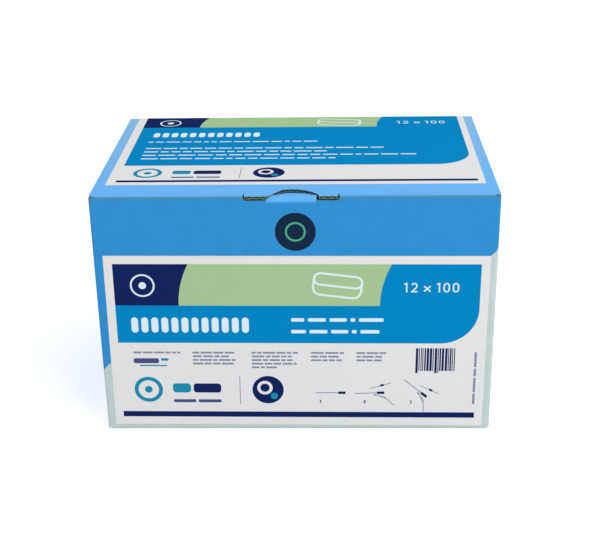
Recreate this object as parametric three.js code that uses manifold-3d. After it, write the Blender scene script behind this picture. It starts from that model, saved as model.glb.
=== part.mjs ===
// A tuck-top carton of fluted board, with a lock tongue in the lid's front fold, two paper labels, and twelve
// boluses standing in a cell divider. Millimetres, +Z up, the front faces -Y, origin in the middle of the base.
import * as THREE from 'three';
import { mergeVertices } from 'three/addons/utils/BufferGeometryUtils.js';
import Module from 'manifold-3d';

const wasm = await Module();
wasm.setup();

// Outside of the closed carton, and its board
const WIDTH = 200;
const DEPTH = 136;
const HEIGHT = 130;
const BOARD = 1.5;
const FOLD_INNER_RADIUS = 0.3;
const CLEARANCE = 0.3;

// Base: two outer flaps that meet in the middle, over two flaps folded in from the sides
const BASE_SEAM = 0.8;
const BASE_FLAP_LENGTH = 48;
const CORNER_LIFT = 1.2;

// Glue flap inside the back wall, at the left corner
const GLUE_FLAP_WIDTH = 26;
const GLUE_FLAP_SLANT = 6;
const GLUE_FLAP_INSET = 4;

// Dust flaps under the lid
const DUST_FLAP_LENGTH = 48;
const DUST_FLAP_SLANT = 5;
const DUST_FLAP_REAR_GAP = 1;
const DUST_FLAP_FRONT_GAP = 3.2;
const SIDE_DROP = 3;

// Lid and its tuck flap
const HINGE_GAP = 0.4;
const LID_SIDE_INSET = 0.5;
const TUCK_DEPTH = 25;
const TUCK_SIDE_GAP = 1;
const TUCK_CORNER_RADIUS = 8;
const TUCK_EXTRA_LEAN = THREE.MathUtils.degToRad(0.5);
const RAW_EDGE_DROP = 0.5;

// Lock: a tongue of the front wall, bent back into an arch cut in the lid's front fold
const LOCK_X = -1.3;
const TONGUE_WIDTH = 24.5;
const TONGUE_CREASE_DEPTH = 4.2;
const TONGUE_DROP = 0.7;
const TONGUE_BEND_RADIUS = 3.2;
const TONGUE_SLOPE = THREE.MathUtils.degToRad(8);
const ARCH_DEPTH = 10.4;
const ARCH_RISE = 8.5;
const LOCK_GAP = 1.2;
const SLOT_WIDTH = 47;
const SLOT_DEPTH = 1.7;
const SLOT_END_RADIUS = 1.6;
const SLOT_LIP_INSET = 0.5;
const SLOT_FLAP_DROP = 2.5;

// Paper labels: one on the front, one on the lid with its rear end turned down the back wall
const PAPER = 0.2;
const FRONT_LABEL = { width: 191.5, length: 96, x: 0.4, z: 50.9, tilt: THREE.MathUtils.degToRad(-0.3) };
const TOP_LABEL = { width: 189, x: 0.1, frontGap: 17.2, tail: 6.2, tilt: THREE.MathUtils.degToRad(-0.1) };

// Contents: boluses on end, in the cells of a half-lapped divider
const COLUMNS = 4;
const ROWS = 3;
const BOLUS_RADIUS = 18;
const BOLUS_LENGTH = 105;
const BOLUS_END_RADIUS = 11;
const BOLUS_SIDES = 18;
const DIVIDER_BOARD = 1.5;
const DIVIDER_HEIGHT = 90;

const BOARD_BLUE = new THREE.MeshStandardMaterial({ color: 0x3592d2, roughness: 0.6, metalness: 0 });
const LID_BLUE = new THREE.MeshStandardMaterial({ color: 0x66b1ea, roughness: 0.6, metalness: 0 });
const LABEL_WHITE = new THREE.MeshStandardMaterial({ color: 0xe5e5e5, roughness: 0.5, metalness: 0 });
const DIVIDER_KRAFT = new THREE.MeshStandardMaterial({ color: 0xb99b72, roughness: 0.85, metalness: 0 });
const BOLUS_WHITE = new THREE.MeshStandardMaterial({ color: 0xe9e4d6, roughness: 0.7, metalness: 0 });

const RIGHT = WIDTH / 2;
const FRONT = -DEPTH / 2;
const BACK = DEPTH / 2;
const FOLD_RADIUS = BOARD + FOLD_INNER_RADIUS;
const BASE_TOP = 2 * BOARD;
const LID_UNDER = HEIGHT - BOARD;
const DUST_TOP = LID_UNDER - CLEARANCE;
const SIDE_TOP = HEIGHT - SIDE_DROP;
const FRONT_TOP = HEIGHT - RAW_EDGE_DROP;
const BACK_TOP = LID_UNDER - HINGE_GAP;
const HINGE_Y = BACK - BOARD / 2;
const TUCK_Y = FRONT + BOARD + CLEARANCE;
const SLOT_FLOOR = FRONT_TOP - SLOT_DEPTH;
const TONGUE_AXIS_Z = HEIGHT - TONGUE_CREASE_DEPTH;
const ARCH_HALF_WIDTH = TONGUE_WIDTH / 2 + LOCK_GAP;
const INNER_WIDTH = WIDTH - 2 * BOARD;
const INNER_DEPTH = DEPTH - 2 * BOARD;

const QUARTER = Math.PI / 2;
const HALF = Math.PI;

// Points of an arc, ends included, from one angle to the other.
function arc(x, y, radius, from, to, steps = 5) {
  const points = [];
  for (let i = 0; i <= steps; i += 1) {
    const angle = from + ((to - from) * i) / steps;
    points.push([x + radius * Math.cos(angle), y + radius * Math.sin(angle)]);
  }
  return points;
}

function rectangle(x0, y0, x1, y1) {
  return [[x0, y0], [x1, y0], [x1, y1], [x0, y1]];
}

function solid(geometry) {
  geometry.deleteAttribute('normal');
  geometry.deleteAttribute('uv');
  const merged = mergeVertices(geometry, 1e-5);
  return new wasm.Manifold(new wasm.Mesh({
    numProp: 3,
    vertProperties: new Float32Array(merged.attributes.position.array),
    triVerts: new Uint32Array(merged.index.array),
  }));
}

function extrude(outline, depth) {
  const shape = new THREE.Shape(outline.map(([x, y]) => new THREE.Vector2(x, y)));
  return new THREE.ExtrudeGeometry(shape, { depth, bevelEnabled: false });
}

// A prism on an outline in (x, y), from z0 up to z1.
function prismZ(outline, z0, z1) {
  return solid(extrude(outline, z1 - z0).translate(0, 0, z0));
}

// A prism on an outline in (y, z), from x0 to x1.
function prismX(outline, x0, x1) {
  const axes = new THREE.Matrix4().makeBasis(
    new THREE.Vector3(0, 1, 0), new THREE.Vector3(0, 0, 1), new THREE.Vector3(1, 0, 0));
  return solid(extrude(outline, x1 - x0).applyMatrix4(axes).translate(x0, 0, 0));
}

// A prism on an outline in (x, z), from y0 to y1.
function prismY(outline, y0, y1) {
  const axes = new THREE.Matrix4().makeBasis(
    new THREE.Vector3(1, 0, 0), new THREE.Vector3(0, 0, 1), new THREE.Vector3(0, -1, 0));
  return solid(extrude(outline, y1 - y0).applyMatrix4(axes).translate(0, y1, 0));
}

function join(solids) {
  return solids.reduce((whole, next) => whole.add(next));
}

function node(name, body, material) {
  const { vertProperties, triVerts } = body.getMesh();
  const geometry = new THREE.BufferGeometry();
  geometry.setAttribute('position', new THREE.BufferAttribute(vertProperties, 3));
  geometry.setIndex(new THREE.BufferAttribute(triVerts, 1));
  geometry.computeVertexNormals();
  const mesh = new THREE.Mesh(geometry, material);
  mesh.name = name;
  return mesh;
}

// Outline of a sheet folded square round the outer corner (x, y). One leg runs sideways for width, towards the
// sign of h, and the other runs up or down for height, towards the sign of v.
function foldedSheet(x, y, h, width, v, height) {
  const outer = arc(FOLD_RADIUS, FOLD_RADIUS, FOLD_RADIUS, 3 * QUARTER, HALF);
  const inner = arc(FOLD_RADIUS, FOLD_RADIUS, FOLD_INNER_RADIUS, HALF, 3 * QUARTER, 2);
  const sheet = [[width, 0], ...outer, [0, height], [BOARD, height], ...inner, [width, BOARD]];
  return sheet.map(([a, b]) => [x + h * a, y + v * b]);
}

// The four upright walls, with rounded folds at three corners. At the left rear corner the left wall folds in
// behind the back wall, whose raw edge shows there.
function wallRing() {
  const r = FOLD_RADIUS;
  const outside = [
    ...arc(-RIGHT + r, FRONT + r, r, HALF, 3 * QUARTER),
    ...arc(RIGHT - r, FRONT + r, r, -QUARTER, 0),
    ...arc(RIGHT - r, BACK - r, r, 0, QUARTER),
    [-RIGHT + r, BACK], ...arc(-RIGHT + r, BACK - BOARD - r, r, QUARTER, HALF),
  ];
  const inside = rectangle(-INNER_WIDTH / 2, -INNER_DEPTH / 2, INNER_WIDTH / 2, INNER_DEPTH / 2);
  const walls = prismZ(outside, CORNER_LIFT, SIDE_TOP).subtract(prismZ(inside, 0, HEIGHT));
  const footHalf = BACK - r;
  const sideFoot = prismZ(rectangle(-WIDTH, -footHalf, WIDTH, footHalf), 0, BOARD + r);
  return walls.subtract(sideFoot);
}

// The front wall from the base folds to its raw top edge, with the lock's slot.
function frontWall() {
  const half = RIGHT - FOLD_RADIUS;
  const r = SLOT_END_RADIUS;
  const slotHalf = SLOT_WIDTH / 2;
  const outline = [
    [-half, BASE_TOP], [half, BASE_TOP], [half, FRONT_TOP], [LOCK_X + slotHalf, FRONT_TOP],
    ...arc(LOCK_X + slotHalf - r, SLOT_FLOOR + r, r, 0, -QUARTER),
    ...arc(LOCK_X - slotHalf + r, SLOT_FLOOR + r, r, -QUARTER, -HALF),
    [LOCK_X - slotHalf, FRONT_TOP], [-half, FRONT_TOP],
  ];
  return prismY(outline, FRONT, FRONT + BOARD);
}

// The gap in the front wall where the tongue's crease lies.
function tongueSeat() {
  const half = TONGUE_WIDTH / 2 + CLEARANCE;
  const floor = TONGUE_AXIS_Z - BOARD / 2 - CLEARANCE;
  return prismY(rectangle(LOCK_X - half, floor, LOCK_X + half, HEIGHT), FRONT - 1, FRONT + BOARD + 1);
}

function backWall() {
  const half = RIGHT - FOLD_RADIUS;
  return prismY(rectangle(-half, BASE_TOP, half, BACK_TOP), BACK - BOARD, BACK);
}

// The outer base flaps, folded in from the front and back walls.
function outerBaseFlaps() {
  const half = RIGHT - FOLD_RADIUS;
  const length = (DEPTH - BASE_SEAM) / 2;
  const legUp = BASE_TOP + FOLD_RADIUS;
  return [
    prismX(foldedSheet(FRONT, 0, 1, length, 1, legUp), -half, half),
    prismX(foldedSheet(BACK, 0, -1, length, 1, legUp), -half, half),
  ];
}

// The inner base flaps, folded in from the side walls on top of the outer ones.
function innerBaseFlaps() {
  const half = BACK - FOLD_RADIUS;
  const legUp = 2 * FOLD_RADIUS;
  return [1, -1].map((side) => prismY(
    foldedSheet(side * RIGHT, BOARD, -side, BASE_FLAP_LENGTH, 1, legUp), -half, half));
}

// The dust flaps, folded in level from the side walls under the lid, slanted towards their free ends.
function dustFlaps() {
  const front = TUCK_Y + BOARD + DUST_FLAP_FRONT_GAP;
  const rear = BACK - BOARD - DUST_FLAP_REAR_GAP;
  const legDown = 2 * (DUST_TOP - SIDE_TOP) + FOLD_RADIUS;
  return [1, -1].map((side) => {
    const folded = prismY(foldedSheet(side * RIGHT, DUST_TOP, -side, DUST_FLAP_LENGTH, -1, legDown), front, rear);
    const freeEnd = side * (RIGHT - DUST_FLAP_LENGTH);
    const plan = [
      [side * RIGHT, front], [side * (RIGHT - FOLD_RADIUS), front], [freeEnd, front + DUST_FLAP_SLANT],
      [freeEnd, rear - DUST_FLAP_SLANT], [side * (RIGHT - FOLD_RADIUS), rear], [side * RIGHT, rear],
    ];
    return folded.intersect(prismZ(plan, 0, HEIGHT));
  });
}

function glueFlap() {
  const low = BASE_TOP + GLUE_FLAP_INSET;
  const high = SIDE_TOP - GLUE_FLAP_INSET;
  const x0 = -INNER_WIDTH / 2;
  const x1 = x0 + GLUE_FLAP_WIDTH;
  const outline = [[x0, low], [x1, low + GLUE_FLAP_SLANT], [x1, high - GLUE_FLAP_SLANT], [x0, high]];
  return prismY(outline, BACK - 2 * BOARD, BACK - BOARD);
}

function carton() {
  const sheet = join([
    wallRing(), frontWall(), backWall(), glueFlap(), ...outerBaseFlaps(), ...innerBaseFlaps(), ...dustFlaps(),
  ]);
  return sheet.subtract(tongueSeat());
}

// Plan of the lock's arch, or of the tongue inside it when inset is the gap between them.
function archPlan(inset) {
  const half = ARCH_HALF_WIDTH - inset;
  const radius = (ARCH_HALF_WIDTH ** 2 + ARCH_RISE ** 2) / (2 * ARCH_RISE);
  const centreY = FRONT + ARCH_DEPTH - radius;
  const reach = Math.acos(half / (radius - inset));
  return [
    [LOCK_X - half, FRONT - BOARD], [LOCK_X + half, FRONT - BOARD],
    ...arc(LOCK_X, centreY, radius - inset, reach, HALF - reach, 12),
  ];
}

// Side view of the lid: the panel with a half-round rear end on the hinge line, and the tuck flap, which leans
// in by the angle that lets it swing up about that line behind the front wall.
function lidSection() {
  const reach = HINGE_Y - TUCK_Y;
  const turn = HALF + Math.atan(TUCK_DEPTH / (2 * reach)) + TUCK_EXTRA_LEAN;
  const bendY = TUCK_Y + FOLD_RADIUS;
  const bendZ = HEIGHT - FOLD_RADIUS;
  const run = TUCK_DEPTH - FOLD_RADIUS;
  const along = ([y, z]) => [y - run * Math.sin(turn), z + run * Math.cos(turn)];
  const outer = arc(bendY, bendZ, FOLD_RADIUS, QUARTER, turn);
  const inner = arc(bendY, bendZ, FOLD_INNER_RADIUS, turn, QUARTER, 2);
  return [
    ...outer, along(outer.at(-1)), along(inner[0]), ...inner,
    ...arc(HINGE_Y, HEIGHT - BOARD / 2, BOARD / 2, -QUARTER, QUARTER, 6),
  ];
}

// Front view of one ear of the tuck flap. Its top edge is cut lower under the lock's slot.
function earOutline(side) {
  const r = TUCK_CORNER_RADIUS;
  const low = HEIGHT - TUCK_DEPTH;
  const inner = ARCH_HALF_WIDTH + LOCK_GAP;
  const lockSide = side * LOCK_X;
  const outerX = INNER_WIDTH / 2 - TUCK_SIDE_GAP;
  const innerX = lockSide + inner;
  const slotX = lockSide + SLOT_WIDTH / 2;
  const slotTop = LID_UNDER - SLOT_FLAP_DROP;
  const outline = [
    ...arc(innerX + r, low + r, r, HALF, 3 * QUARTER), ...arc(outerX - r, low + r, r, -QUARTER, 0),
    [outerX, LID_UNDER], [slotX, LID_UNDER], [slotX, slotTop], [innerX, slotTop],
  ];
  return outline.map(([x, z]) => [side * x, z]);
}

function lid() {
  const half = RIGHT - LID_SIDE_INSET;
  const folded = prismX(lidSection(), -half, half);
  const ears = [1, -1].map((side) => prismY(earOutline(side), FRONT, 0));
  const above = prismZ(rectangle(-half, FRONT, half, BACK), LID_UNDER, HEIGHT);
  const lipHalf = SLOT_WIDTH / 2 - SLOT_END_RADIUS - CLEARANCE;
  const lipPlan = rectangle(
    LOCK_X - lipHalf, FRONT + SLOT_LIP_INSET, LOCK_X + lipHalf, TUCK_Y + 2 * FOLD_RADIUS);
  const lip = prismZ(lipPlan, LID_UNDER, HEIGHT);
  const arch = prismZ(archPlan(0), LID_UNDER - BOARD, HEIGHT + 1);
  return folded.intersect(join([above, ...ears])).add(lip).subtract(arch);
}

// Side view of the tongue: a half-round end on its crease, the bend, and the part that slopes into the lid.
function tongueSection() {
  const r = TONGUE_BEND_RADIUS;
  const top = HEIGHT - TONGUE_DROP;
  const turn = QUARTER - TONGUE_SLOPE;
  const outer = arc(FRONT + r, top - r, r, HALF, turn);
  const inner = arc(FRONT + r, top - r, r - BOARD, turn, HALF);
  const run = ARCH_DEPTH;
  const along = ([y, z]) => [y + run * Math.sin(turn), z - run * Math.cos(turn)];
  return [
    ...outer, along(outer.at(-1)), along(inner[0]), ...inner,
    ...arc(FRONT + BOARD / 2, TONGUE_AXIS_Z, BOARD / 2, 0, -HALF, 6),
  ];
}

function lockTongue() {
  const half = TONGUE_WIDTH / 2;
  const bent = prismX(tongueSection(), LOCK_X - half, LOCK_X + half);
  return bent.intersect(prismZ(archPlan(LOCK_GAP), 0, HEIGHT));
}

// Corners of a label of the given size, turned by tilt about its middle (x, y), lower left first.
function labelCorners(width, length, tilt, x, y) {
  const cos = Math.cos(tilt);
  const sin = Math.sin(tilt);
  const corners = rectangle(-width / 2, -length / 2, width / 2, length / 2);
  return corners.map(([a, b]) => [x + a * cos - b * sin, y + a * sin + b * cos]);
}

function frontLabel() {
  const { width, length, x, z, tilt } = FRONT_LABEL;
  return prismY(labelCorners(width, length, tilt, x, z), FRONT - PAPER, FRONT);
}

// The top label's whole sheet, laid out flat on the level of the lid.
function topLabelPlan() {
  const { width, x, frontGap, tail, tilt } = TOP_LABEL;
  const length = DEPTH - frontGap + tail;
  return labelCorners(width, length, tilt, x, FRONT + frontGap + length / 2);
}

function topLabel() {
  const onLid = prismZ(rectangle(-WIDTH, FRONT, WIDTH, HINGE_Y), HEIGHT, HEIGHT + PAPER);
  return prismZ(topLabelPlan(), HEIGHT, HEIGHT + PAPER).intersect(onLid);
}

// The end of the top label that is turned down over the rear fold and stuck to the back wall.
function topLabelTail() {
  const turnedDown = topLabelPlan().map(([x, y]) => [x, HEIGHT - (y - BACK)]);
  const onWall = prismY(rectangle(-WIDTH, 0, WIDTH, BACK_TOP - CLEARANCE), BACK, BACK + PAPER);
  return prismY(turnedDown, BACK, BACK + PAPER).intersect(onWall);
}

const columnPitch = INNER_WIDTH / COLUMNS;
const rowPitch = INNER_DEPTH / ROWS;

function cellMiddle(index, count, pitch) {
  return (index - (count - 1) / 2) * pitch;
}

// A divider strip seen from its side, with slots half way down from its top or up from its foot.
function stripOutline(length, slots, slotsFromTop) {
  const foot = BASE_TOP + CLEARANCE;
  const top = foot + DIVIDER_HEIGHT;
  const middle = (foot + top) / 2 + (slotsFromTop ? -1 : 1) * CLEARANCE / 2;
  const slotHalf = DIVIDER_BOARD / 2 + CLEARANCE;
  const open = slotsFromTop ? top : foot;
  const closed = slotsFromTop ? foot : top;
  const toothed = slots.flatMap((at) => [
    [at - slotHalf, open], [at - slotHalf, middle], [at + slotHalf, middle], [at + slotHalf, open],
  ]);
  return [[-length / 2, closed], [-length / 2, open], ...toothed, [length / 2, open], [length / 2, closed]];
}

function dividers() {
  const crossings = (count, pitch) => Array.from({ length: count - 1 }, (_, i) => cellMiddle(i, count - 1, pitch));
  const across = crossings(COLUMNS, columnPitch);
  const along = crossings(ROWS, rowPitch);
  const longOutline = stripOutline(INNER_WIDTH - 2 * CLEARANCE, across, true);
  const crossOutline = stripOutline(INNER_DEPTH - 2 * CLEARANCE, along, false);
  const halfBoard = DIVIDER_BOARD / 2;
  return [
    ...along.map((y, i) => node(
      `long_divider_${i + 1}`, prismY(longOutline, y - halfBoard, y + halfBoard), DIVIDER_KRAFT)),
    ...across.map((x, i) => node(
      `cross_divider_${i + 1}`, prismX(crossOutline, x - halfBoard, x + halfBoard), DIVIDER_KRAFT)),
  ];
}

function bolusGeometry() {
  const r = BOLUS_END_RADIUS;
  const inset = BOLUS_RADIUS - r;
  const profile = [
    [0, 0], ...arc(inset, r, r, -QUARTER, 0, 4), ...arc(inset, BOLUS_LENGTH - r, r, 0, QUARTER, 4), [0, BOLUS_LENGTH],
  ];
  const points = profile.map(([radius, along]) => new THREE.Vector2(radius, along));
  return new THREE.LatheGeometry(points, BOLUS_SIDES).rotateX(QUARTER);
}

// The outer columns stand on the inner base flaps, the others between those flaps on the outer ones.
function boluses() {
  const geometry = bolusGeometry();
  const flapEnd = RIGHT - BASE_FLAP_LENGTH;
  return Array.from({ length: COLUMNS * ROWS }, (_, i) => {
    const x = cellMiddle(i % COLUMNS, COLUMNS, columnPitch);
    const y = cellMiddle(Math.floor(i / COLUMNS), ROWS, rowPitch);
    const seat = Math.abs(x) + BOLUS_RADIUS > flapEnd ? BASE_TOP : BOARD;
    const mesh = new THREE.Mesh(geometry, BOLUS_WHITE);
    mesh.name = `bolus_${String(i + 1).padStart(2, '0')}`;
    mesh.position.set(x, y, seat + CLEARANCE);
    return mesh;
  });
}

const part = new THREE.Group();
part.add(
  node('carton', carton(), BOARD_BLUE),
  node('lid', lid(), LID_BLUE),
  node('lock_tongue', lockTongue(), LID_BLUE),
  node('front_label', frontLabel(), LABEL_WHITE),
  node('top_label', topLabel(), LABEL_WHITE),
  node('top_label_tail', topLabelTail(), LABEL_WHITE),
  ...dividers(),
  ...boluses(),
);

export default part;
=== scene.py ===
import math
import random

import bmesh
import bpy
from mathutils import Matrix, Vector
from mathutils.geometry import delaunay_2d_cdt


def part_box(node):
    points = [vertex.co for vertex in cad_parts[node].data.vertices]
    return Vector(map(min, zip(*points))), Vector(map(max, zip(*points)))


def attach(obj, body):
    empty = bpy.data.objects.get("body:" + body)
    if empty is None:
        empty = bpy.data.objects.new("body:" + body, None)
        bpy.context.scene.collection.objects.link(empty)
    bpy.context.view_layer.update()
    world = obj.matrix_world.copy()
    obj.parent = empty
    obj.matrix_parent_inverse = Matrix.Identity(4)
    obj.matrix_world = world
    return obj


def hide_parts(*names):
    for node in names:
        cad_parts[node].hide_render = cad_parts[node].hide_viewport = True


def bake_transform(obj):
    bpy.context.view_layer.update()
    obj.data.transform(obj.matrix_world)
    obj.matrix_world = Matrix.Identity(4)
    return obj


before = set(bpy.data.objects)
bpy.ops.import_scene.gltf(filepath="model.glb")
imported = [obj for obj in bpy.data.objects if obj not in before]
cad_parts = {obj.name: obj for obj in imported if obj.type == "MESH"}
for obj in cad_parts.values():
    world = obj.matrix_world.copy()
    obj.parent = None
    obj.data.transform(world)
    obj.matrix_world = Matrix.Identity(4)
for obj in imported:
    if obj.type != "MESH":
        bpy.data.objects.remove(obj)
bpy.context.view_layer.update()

MM = 0.001

# Camera. It looks at the carton's front from a little above and a touch to the right, at arm's length, with
# the long lens of a product photograph. Its place, angles and focal length were fitted to the corners.
CAMERA_PLACE = (0.01934, -0.60375, 0.32571)
CAMERA_AZIMUTH = math.radians(1.80)
CAMERA_ELEVATION = math.radians(23.50)
CAMERA_ROLL = math.radians(-0.94)
FOCAL_PIXELS = 1182.5
IMAGE_WIDTH_PIXELS = 600
SENSOR_WIDTH = 36.0

back = Vector((
    math.sin(CAMERA_AZIMUTH) * math.cos(CAMERA_ELEVATION),
    -math.cos(CAMERA_AZIMUTH) * math.cos(CAMERA_ELEVATION),
    math.sin(CAMERA_ELEVATION),
))
level = Vector((0, 0, 1)).cross(back).normalized()
turn = Matrix((level, back.cross(level), back)).transposed().to_4x4() @ Matrix.Rotation(CAMERA_ROLL, 4, "Z")
camera = bpy.data.objects.new("camera", bpy.data.cameras.new("camera"))
camera.matrix_world = Matrix.Translation(CAMERA_PLACE) @ turn
camera.data.sensor_width = SENSOR_WIDTH
camera.data.lens = SENSOR_WIDTH * FOCAL_PIXELS / IMAGE_WIDTH_PIXELS
bpy.context.scene.collection.objects.link(camera)
bpy.context.scene.camera = camera
bpy.context.scene.view_settings.view_transform = "Standard"

# Studio. A white sweep under soft light from all sides, with one broad lamp high on the right that makes the
# carton's right half a little brighter than its left, as in the photograph.
WORLD_LIGHT = 0.74
LAMP_POWER = 7.5
LAMP_SIZE = 0.8
LAMP_PLACE = (0.80, -0.85, 1.15)
FLOOR_SIZE = 8.0
FLOOR_LIFT = 0.42


def add(tree, kind, inputs=None, **settings):
    """Adds a node with its settings, and gives its inputs a number, a colour or a link."""
    made = tree.nodes.new("ShaderNode" + kind)
    for key, value in settings.items():
        setattr(made, key, value)
    for key, value in (inputs or {}).items():
        if isinstance(value, bpy.types.NodeSocket):
            tree.links.new(value, made.inputs[key])
        else:
            made.inputs[key].default_value = value
    return made


def ink(hex_colour):
    """An sRGB hex colour as linear red, green, blue and alpha."""
    parts = [int(hex_colour[i:i + 2], 16) / 255 for i in (1, 3, 5)]
    return tuple(c / 12.92 if c <= 0.04045 else ((c + 0.055) / 1.055) ** 2.4 for c in parts) + (1.0,)


world = bpy.data.worlds.new("studio")
bpy.context.scene.world = world
world.use_nodes = True
tree = world.node_tree
tree.nodes.clear()
path = add(tree, "LightPath")
seen = path.outputs["Is Camera Ray"]
for ray in ("Is Glossy Ray", "Is Transmission Ray"):
    seen = add(tree, "Math", {0: seen, 1: path.outputs[ray]}, operation="MAXIMUM").outputs[0]
strength = add(tree, "MapRange", {0: seen, 3: WORLD_LIGHT, 4: 1.0})
sky = add(tree, "Background", {"Color": (1, 1, 1, 1), "Strength": strength.outputs[0]})
add(tree, "OutputWorld", {"Surface": sky.outputs[0]})

lamp = bpy.data.objects.new("key_lamp", bpy.data.lights.new("key_lamp", "AREA"))
lamp.data.energy = LAMP_POWER
lamp.data.size = LAMP_SIZE
aim = Vector(LAMP_PLACE).to_track_quat("Z", "Y").to_matrix().to_4x4()
lamp.matrix_world = Matrix.Translation(LAMP_PLACE) @ aim
bpy.context.scene.collection.objects.link(lamp)


def finish_mesh(bm, name, materials, sharp_degrees=32):
    """Makes the object of a bmesh, smooth over its folds and sharp at its cut edges."""
    mesh = bpy.data.meshes.new(name)
    bm.to_mesh(mesh)
    bm.free()
    for each in materials:
        mesh.materials.append(each)
    mesh.polygons.foreach_set("use_smooth", [True] * len(mesh.polygons))
    mesh.set_sharp_from_angle(angle=math.radians(sharp_degrees))
    made = bpy.data.objects.new(name, mesh)
    bpy.context.scene.collection.objects.link(made)
    return made


def new_material(name):
    """A material with an empty tree and its output node."""
    made = bpy.data.materials.new(name)
    made.use_nodes = True
    made.node_tree.nodes.clear()
    return made, made.node_tree, add(made.node_tree, "OutputMaterial")


def white_sweep():
    """Matt white paper. A little light of its own, for the camera only, keeps it white round the shadow."""
    made, tree, out = new_material("white_sweep")
    ray = add(tree, "LightPath")
    paper = add(tree, "BsdfDiffuse", {"Color": ink("#f4f4f4")})
    seen = add(tree, "Math", {0: ray.outputs["Is Camera Ray"], 1: FLOOR_LIFT}, operation="MULTIPLY")
    lift = add(tree, "Emission", {"Color": (1, 1, 1, 1), "Strength": seen.outputs[0]})
    both = add(tree, "AddShader", {0: paper.outputs[0], 1: lift.outputs[0]})
    tree.links.new(both.outputs[0], out.inputs["Surface"])
    return made


bm = bmesh.new()
bmesh.ops.create_grid(bm, x_segments=1, y_segments=1, size=FLOOR_SIZE / 2)
floor = finish_mesh(bm, "floor", [white_sweep()])

# Board. Every wall and flap is E-flute: a white-lined outer paper, a wavy medium and a grey inner paper,
# 1.5 mm thick in all, with the flutes 3.3 mm apart. Cut edges show the wave, as dark tunnels between lighter
# lines; the medium's dark teal is painted shade of the tunnels. Sizes are in millimetres from here on.
BOARD = 1.5
LINER = 0.24
MEDIUM = 0.18
FLUTE_PITCH = 3.3
FLUTE_SAMPLES = 8
FOLD_RADIUS = 1.8
CLEARANCE = 0.3
SIDE_DROP = 3.0
JOIN_BELOW_HINGE = 6.0
EDGE_INSET = 0.12
MERGE = 0.004
EMPTY_AREA = 1e-12
PRINT, CUT_EDGE, TUNNEL, INSIDE, CRUSHED = range(5)

carton_low, carton_high = (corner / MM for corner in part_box("carton"))
lid_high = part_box("lid")[1] / MM
RIGHT = carton_high.x
FRONT = carton_low.y
BACK = carton_high.y
HEIGHT = lid_high.z
DUST_TOP = HEIGHT - BOARD - CLEARANCE
SIDE_TOP = HEIGHT - SIDE_DROP


def arc(x, y, radius, start, end, steps=8):
    """Points of an arc, ends included, between two angles in degrees."""
    angles = [math.radians(start + (end - start) * i / steps) for i in range(steps + 1)]
    return [(x + radius * math.cos(a), y + radius * math.sin(a)) for a in angles]


class Route:
    """The outer face of a sheet in cross-section: a chain of points, with the side its board lies on."""

    def __init__(self, points, side):
        self.points = [Vector(p) for p in points]
        steps = [b - a for a, b in zip(self.points, self.points[1:])]
        self.lengths = [0.0]
        for step in steps:
            self.lengths.append(self.lengths[-1] + step.length)
        normals = [Vector((-s.y, s.x)).normalized() * side for s in steps]
        ends = [normals[0]] + [(a + b).normalized() for a, b in zip(normals, normals[1:])] + [normals[-1]]
        self.normals = ends

    def at(self, distance, depth):
        """The point at a distance along the route, at a depth into the board."""
        for i in range(len(self.lengths) - 1):
            if distance <= self.lengths[i + 1] or i == len(self.lengths) - 2:
                break
        share = (distance - self.lengths[i]) / (self.lengths[i + 1] - self.lengths[i])
        point = self.points[i].lerp(self.points[i + 1], share)
        return point + self.normals[i].lerp(self.normals[i + 1], share) * depth


def as_drawn(w, a, b):
    """Puts a route that lies in the side view at w across the box."""
    return w, a, b


def ply(bm, route, across, depth, thickness, place, start, end, levels, outward, inward):
    """One paper of a sheet: a grid of points across the flutes and along the route, given its thickness.
    outward and inward are the finishes of its two faces, and its rim shows the cut edge."""
    stations = sorted(set(route.lengths + list(levels)))
    count = (len(across) - 1, len(stations) - 1)
    made = bmesh.ops.create_grid(bm, x_segments=count[0], y_segments=count[1], size=1)
    for vert in made["verts"]:
        w = across[round((vert.co.x + 1) / 2 * count[0])]
        s = stations[round((vert.co.y + 1) / 2 * count[1])]
        a, b = route.at(min(max(s, start(w)), end(w)), depth(w))
        vert.co = Vector(place(w, a, b)) * MM
    faces = list({face for vert in made["verts"] for face in vert.link_faces})
    bmesh.ops.remove_doubles(bm, verts=made["verts"], dist=MERGE * MM)
    empty = [face for face in faces if face.is_valid and face.calc_area() < EMPTY_AREA]
    bmesh.ops.delete(bm, geom=empty, context="FACES")
    faces = [face for face in faces if face.is_valid]
    bm.normal_update()
    w = across[len(across) // 2]
    middle = (start(w) + end(w)) / 2
    surface = Vector(place(w, *route.at(middle, 0))) * MM
    below = Vector(place(w, *route.at(middle, BOARD))) * MM
    nearest = min(faces, key=lambda face: (face.calc_center_median() - surface).length)
    if nearest.normal.dot(surface - below) < 0:
        bmesh.ops.reverse_faces(bm, faces=faces)
    cut = [edge for face in faces for edge in face.edges if edge.is_boundary]
    before = set(bm.faces)
    bmesh.ops.solidify(bm, geom=faces, thickness=thickness * MM)
    for face in faces:
        face.material_index = outward
    for face in set(bm.faces) - before:
        face.material_index = inward
    for face in {face for edge in cut for face in edge.link_faces} - set(faces):
        face.material_index = CUT_EDGE


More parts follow.
